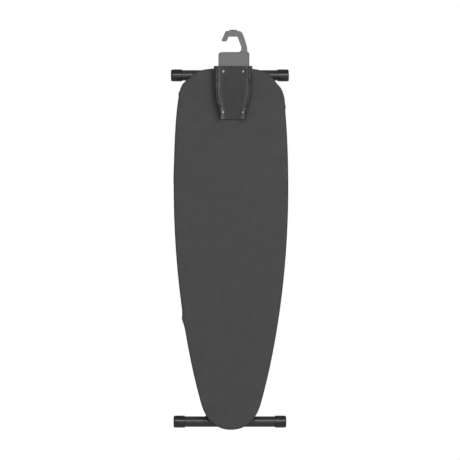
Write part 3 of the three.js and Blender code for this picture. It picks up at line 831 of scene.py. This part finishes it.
def makeLever(settings):
    low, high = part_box("lever_shaft")
    bend, lean = settings["bend"], settings["lean"]
    cornerX = high[0] - settings["radius"]

    def hanging(x, drop):
        return x, leverY + drop * math.sin(lean), leverZ - drop * math.cos(lean)

    path = [hanging(low[0] + t * (cornerX - bend - low[0]) / 10, 0) for t in range(11)]
    path += [hanging(cornerX - bend + bend * sine, bend * (1 - cosine)) for sine, cosine in quarterTurn(12)[1:-1]]
    path += [hanging(cornerX, bend + settings["grip"] * i / 8) for i in range(9)]
    makePiece("lever_wire", swept(path, settings["radius"], 28), zincPlate, "lever_shaft", sharp=50)


def makeSpring(settings):
    low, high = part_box("lever_spring")
    start, end = low[0] + settings["end"], high[0] - settings["end"]
    radius, steps = settings["radius"], settings["steps"]
    path = [(start, low[1] + 0.8 * mm, leverZ - settings["leg"]),
            (start, leverY - radius - 0.6 * mm, leverZ - settings["leg"] / 2)]
    for i in range(steps + 1):
        angle = 2 * math.pi * settings["turns"] * i / steps
        path.append((start + (end - start) * i / steps, leverY - radius * math.cos(angle),
                     leverZ + radius * math.sin(angle)))
    path.append((end, leverY - 0.3 * mm, leverZ - settings["leg"]))
    makePiece("lever_coil", swept(path, settings["wire"], 8), zincPlate, "lever_spring", sharp=50)


makeLever(leverWire)
makeSpring(springWire)


# plates with a rounded edge, drawn in x and z

def quadratic(start, control, end, steps=10):
    return [tuple((1 - t) ** 2 * start[k] + 2 * t * (1 - t) * control[k] + t * t * end[k] for k in (0, 1))
            for t in (i / steps for i in range(1, steps + 1))]


def plate(outline, y0, y1, edge, steps=4):
    ring = [Vector(p) for p in outline]
    count = len(ring)
    area = sum(ring[i].x * ring[(i + 1) % count].y - ring[(i + 1) % count].x * ring[i].y for i in range(count))
    turn = 1 if area > 0 else -1
    normals = []
    for i, p in enumerate(ring):
        a, b = (p - ring[i - 1]).normalized(), (ring[(i + 1) % count] - p).normalized()
        out = turn * (Vector((a.y, -a.x)) + Vector((b.y, -b.x)))
        normals.append(out.normalized() / max(0.5, math.cos(a.angle(b) / 2)))
    levels = [(edge * (1 - sine), y0 + edge * (1 - cosine)) for sine, cosine in quarterTurn(steps)]
    levels += [(inset, y1 - (y - y0)) for inset, y in reversed(levels)]
    points = [(p.x - normal.x * inset, y, p.y - normal.y * inset)
              for inset, y in levels for p, normal in zip(ring, normals)]
    ends = [tuple(range(count)), tuple((len(levels) - 1) * count + k for k in range(count))]
    return points, loopFaces(len(levels), count) + ends


hookPlate = {"edge": 1.1 * mm, "steps": 14, "rim": 1.5 * mm}


def hookOutline(settings):   # from the narrow foot up the left side and over the hook
    path = [(-30, -246), (-38, -205), (-44.5, -160), (-44.5, -58)]
    corners = [
        ("curve", (-44.5, -46.6), (-33, -46.6)), ("line", (15, -46.6)), ("curve", (24, -46.6), (25, -36)),
        ("line", (24.6, -30)), ("line", (13, 0)), ("line", (-13, 0)), ("line", (-18.6, -10.6)),
        ("curve", (-19.5, -14.6), (-24.5, -14.6)), ("line", (-30.5, -14.6)), ("curve", (-35.6, -14.4), (-34, -9)),
        ("line", (-24.6, 12.4)), ("curve", (-22.4, 17.6), (-17.6, 17.6)), ("line", (15.5, 17.6)),
        ("curve", (24.5, 17.2), (28.6, 9.5)), ("curve", (36, -6), (42.5, -33)), ("line", (43.6, -46.2)),
        ("curve", (49.4, -47), (49.5, -54)), ("line", (49.5, -160)), ("line", (38, -205)), ("line", (30, -246)),
    ]
    for kind, *ends in corners:
        path += quadratic(path[-1], *ends, steps=settings["steps"]) if kind == "curve" else [ends[0]]
    return [(x * mm, z * mm) for x, z in path]


def hookRim(settings, y):   # a bead along the sides and top of the base
    path = [(-29, -243), (-36.6, -205), (-42.8, -160), (-42.8, -58)]
    path += quadratic(path[-1], (-42.8, -48.3), (-33, -48.3)) + [(-10, -48.3), (14, -48.3), (40, -48.3)]
    path += quadratic(path[-1], (47.8, -48.3), (47.8, -57)) + [(47.8, -110), (47.8, -160), (36.6, -205), (29, -243)]
    return swept([(x * mm, y, z * mm) for x, z in path], settings["rim"], 14)


low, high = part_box("hook_plate")
hookShape = plate(hookOutline(hookPlate), low[1], high[1], hookPlate["edge"])
hookShape = together(hookShape, hookRim(hookPlate, low[1] + 0.1 * mm))
makePiece("hook_moulding", hookShape, hookGrey, "hook_plate", sharp=50)
print("hook made")


# iron holder: an open channel, its lips with a rounded double rim

ironHolder = {
    "wall": 3 * mm, "lip": 7 * mm, "corner": 2.2 * mm, "ridge": 1.0 * mm, "rows": 90,
    "beads": [   # across the lip from its outer edge to its tip, and how far it stands out there
        (0.03, 0.5), (0.08, 0.85), (0.14, 1), (0.2, 0.85), (0.25, 0.4), (0.29, -0.4), (0.36, -1.1), (0.5, -1.3),
        (0.63, -1.1), (0.7, -0.4), (0.75, 0.4), (0.8, 0.8), (0.87, 1), (0.93, 0.8), (0.98, 0.3)],
    "side": [(56, -89), (55.5, -165), (54, -183), (50.5, -199), (45.5, -210), (41.5, -218), (39.5, -250)],
    "lipEnd": (-212, -219),
}


def holderSection(half, lip, settings, front, back):   # its right half, from the back round to the floor
    wall, corner = settings["wall"], settings["corner"]
    inner, tip, start, floor = half - wall, half - wall - lip, half - corner, back - wall
    fade = min(1, lip / (4 * mm))   # the lip's forms die away with it
    points = [(0, back), (half * 0.5, back), (half - 1 * mm, back), (half - 0.3 * mm, back - 0.3 * mm),
              (half, back - 1 * mm), (half, (front + back) / 2)]
    points += [(half - corner * (1 - cosine), front + corner * (1 - sine)) for sine, cosine in quarterTurn(5)]
    points += [(start - (start - tip) * share, front - settings["ridge"] * fade * rise)
               for share, rise in settings["beads"]]
    points += [(tip + 0.25 * mm, front + 0.2 * mm), (tip, front + 0.9 * mm), (tip, front + wall - 0.6 * mm),
               (tip + 0.4 * mm, front + wall), (tip + (inner - tip) * 0.6, front + wall),
               (inner - 1.2 * mm * fade, front + wall), (inner, front + wall + 1.2 * mm),
               (inner, (front + back) / 2), (inner, floor - 2 * mm)]
    points += [(inner - 2 * mm * (1 - cosine), floor - 2 * mm * (1 - sine)) for sine, cosine in quarterTurn(3)[1:]]
    return points + [(half * 0.5, floor), (0, floor)]


def makeHolder(settings):
    low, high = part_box("iron_holder")
    front, back = low[1] + settings["ridge"], high[1]
    halves, levels = np.array(settings["side"][::-1]).T * mm
    lipTop, lipFoot = (z * mm for z in settings["lipEnd"])
    blur = np.linspace(-9 * mm, 9 * mm, 9)   # rounds the kinks of the tapered side
    points = []
    for i in range(settings["rows"] + 1):
        z = high[2] + (low[2] - high[2]) * i / settings["rows"]
        half = np.mean([np.interp(z + d, levels, halves) for d in blur])
        share = np.clip((z - lipFoot) / (lipTop - lipFoot), 0, 1)
        section = holderSection(half, settings["lip"] * share * share * (3 - 2 * share), settings, front, back)
        points += [(x, y, z) for x, y in section] + [(-x, y, z) for x, y in section[1:-1]][::-1]
    ringSize = 2 * len(section) - 2
    last = settings["rows"] * ringSize
    ends = [tuple(range(ringSize)), tuple(last + k for k in range(ringSize))]
    return points, loopFaces(settings["rows"] + 1, ringSize) + ends


def withRecesses(shape, spots, radius, y0, y1):
    profile = [(y0, 0), (y0, radius), (y1, radius), (y1, 0)]
    raw = newObject("holderRaw", *shape)
    tool = newObject("holderCutter", *together(*[turned("y", (x, 0, z), profile, 32) for x, z in spots]))
    for item in (raw, tool):
        turnOutwards(item)
    cutting = raw.modifiers.new("recesses", "BOOLEAN")
    cutting.operation, cutting.solver, cutting.object = "DIFFERENCE", "EXACT", tool
    result = finishedShape(raw)
    bpy.data.objects.remove(tool)
    return result


holderScrews = [n for n in nodes if n.startswith("holder_screw")]
screwSpots = [(middle(n).x, middle(n).z) for n in holderScrews]
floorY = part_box("iron_holder")[1][1] - ironHolder["wall"]
holderShape = withRecesses(makeHolder(ironHolder), screwSpots, 4.3 * mm, floorY - 2 * mm, floorY + 2 * mm)
makePiece("holder_moulding", holderShape, holderBlack, "iron_holder", sharp=38)
print("holder made")


# screw heads drawn over the plain ones, each cross recess shown as a dark box of painted shade

screwHead = {"radius": 3.9 * mm, "height": 1.6 * mm, "slot": 0.55 * mm, "reach": 2.1 * mm}


def makeScrew(node, settings):
    low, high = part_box(node)
    centre = middle(node)
    facing = -1 if node.startswith("holder") else 1
    top = low[1] if facing < 0 else high[1]
    radius = settings["radius"] if facing < 0 else (high[0] - low[0]) / 2 - 0.1 * mm
    under = top - facing * settings["height"]
    tail = high[1] if facing < 0 else low[1]
    profile = [(tail, 0), (tail, 1.5 * mm), (under, 1.7 * mm), (under, radius)]
    profile += [(under + facing * settings["height"] * sine * 0.9 + facing * 0.1 * mm,
                 radius * (0.35 + 0.65 * cosine)) for sine, cosine in quarterTurn(6)]
    profile.append((top, 0))
    body = turned("y", (centre.x, 0, centre.z), profile, 32)
    # the cross recess is no hollow: a thin dark box set into the head's face, painted shade
    levels = top + facing * 0.02 * mm, top - facing * 0.4 * mm
    slots = []
    for wide, tall in ((settings["reach"], settings["slot"]), (settings["slot"], settings["reach"])):
        corners = [(-wide, -tall), (wide, -tall), (wide, tall), (-wide, tall)]
        slots.append(([(centre.x + a, y, centre.z + b) for y in levels for a, b in corners],
                      [(0, 1, 2, 3), (7, 6, 5, 4), (0, 4, 5, 1), (1, 5, 6, 2), (2, 6, 7, 3), (3, 7, 4, 0)]))
    makePiece(node + "_head", body, zincPlate, node, sharp=40)
    makePiece(node + "_recess_shade", together(*slots), paintedRecessShade, node, sharp=20, added=True)


for node in nodes:
    if "_screw_" in node:
        makeScrew(node, screwHead)
print("screws made")


# the CAD pieces that still show get softened edges and their finish

edgeSoft = {   # in mm, by how the node's name starts
    "hook_top_pad": 0.5, "lever_grip": 1.2, "edge_clip": 0.5, "pivot_bracket": 0.4, "slide_rail": 0.35,
    "leg_bumper": 0.6, "outer_leg_plug": 0.5, "lever_saddle": 0.6, "cross_rib": 0.35,
}
edgePlain = 0.3
machined = machinedTree()
for node, item in nodes.items():
    if item.hide_render:
        continue
    finish = finishOf[slotOf[node]]
    item.data.materials.clear()
    item.data.materials.append(finish)
    smooth = item.modifiers.new("machinedFinish", "NODES")
    smooth.node_group = machined
    setInputs(smooth, {"Smooth Below": 0.6, "Weld": 0.00001, "Material": finish})
    width = next((size for start, size in edgeSoft.items() if node.startswith(start)), edgePlain)
    soft = item.modifiers.new("softEdges", "BEVEL")
    soft.width = width * mm
    soft.segments = 2
    soft.limit_method = "ANGLE"
    soft.angle_limit = math.radians(35)
    soft.harden_normals = True
print("CAD pieces finished")


# stage, lights and camera

stageSet = {
    "floorZ": -1.45, "wide": 6.0, "near": -8.0, "far": 5.5, "floorGlow": 0.45,
    "lights": [   # name, place, aim, size, strength as the light it throws on a face at the aim
        ("front", (0.1, -9.0, 2.6), (0, 0, -0.6), (0.7, 0.5), 0.17),
        ("key", (1.5, -3.6, 1.1), (0, 0, -0.4), (1.2, 1.2), 0.36),
        ("leftStrip", (-1.4, -5.4, -0.3), (0, 0, -0.3), (0.2, 1.8), 0.09),
        ("rightStrip", (1.4, -5.4, -0.3), (0, 0, -0.3), (0.2, 1.8), 0.09),
        ("back", (1.6, 2.6, 0.6), (0, 0, -0.5), (1.6, 1.6), 0.3),
    ],
    "ambient": (0.24, 0.36),
}


def makeFloor(settings):
    w, near, far, z = (settings[k] for k in ("wide", "near", "far", "floorZ"))
    floor = newObject("floor", [(-w, near, z), (w, near, z), (w, far, z), (-w, far, z)], [(0, 1, 2, 3)])
    finish = hardFinish("paleFloor", (0.8, 0.8, 0.79), 0.6, fine=40, depth=0.0002, variation=0.03)
    floor.data.materials.append(finish)
    tree = finish.node_tree   # paler to the eye, with no extra light thrown on the board
    ray = fromNode(tree, "ShaderNodeLightPath", output="Is Camera Ray")
    shader = tree.nodes["Principled BSDF"]
    shader.inputs["Emission Color"].default_value = (1, 1, 1, 1)
    tree.links.new(maths(tree, "MULTIPLY", ray, settings["floorGlow"]), shader.inputs["Emission Strength"])


def aim(item, target):
    item.rotation_euler = (Vector(target) - item.location).to_track_quat("-Z", "Y").to_euler()


def makeLights(settings):
    for name, place, target, size, strength in settings["lights"]:
        data = bpy.data.lights.new(name, "AREA")
        data.shape = "RECTANGLE"
        data.size, data.size_y = size
        distance = (Vector(place) - Vector(target)).length
        data.energy = strength * math.pi * math.pi * distance * distance
        light = bpy.data.objects.new(name, data)
        bpy.context.scene.collection.objects.link(light)
        light.location = place
        light.visible_camera = False
        aim(light, target)
    world = bpy.data.worlds.new("surround")
    bpy.context.scene.world = world
    world.use_nodes = True
    tree = world.node_tree
    tree.nodes.clear()
    where = fromNode(tree, "ShaderNodeTexCoord", output="Generated")
    up = fromNode(tree, "ShaderNodeSeparateXYZ", [(0, where)], "Z")
    dim = fromNode(tree, "ShaderNodeBackground", [("Strength", spread(tree, up, -1, 1, *settings["ambient"]))])
    seen = fromNode(tree, "ShaderNodeBackground", [("Color", (1, 1, 1, 1))])
    ray = fromNode(tree, "ShaderNodeLightPath", output="Is Camera Ray")
    mix = fromNode(tree, "ShaderNodeMixShader", [(0, ray), (1, dim), (2, seen)])
    addNode(tree, "ShaderNodeOutputWorld", [("Surface", mix)])


cameraView = {"lens": 800, "sensor": 36, "clipEnd": 100, "frameWide": 1.395, "aim": (-0.0094, 0, -0.5863)}


def makeCamera(settings):
    data = bpy.data.cameras.new("camera")
    data.lens, data.sensor_width, data.clip_end = (settings[k] for k in ("lens", "sensor", "clipEnd"))
    camera = bpy.data.objects.new("camera", data)
    bpy.context.scene.collection.objects.link(camera)
    x, y, z = settings["aim"]
    camera.location = (x, y - settings["frameWide"] * data.lens / data.sensor_width, z)
    aim(camera, settings["aim"])
    bpy.context.scene.camera = camera


makeFloor(stageSet)
makeLights(stageSet)
makeCamera(cameraView)
bpy.context.scene.view_settings.view_transform = "Standard"
bpy.context.view_layer.update()
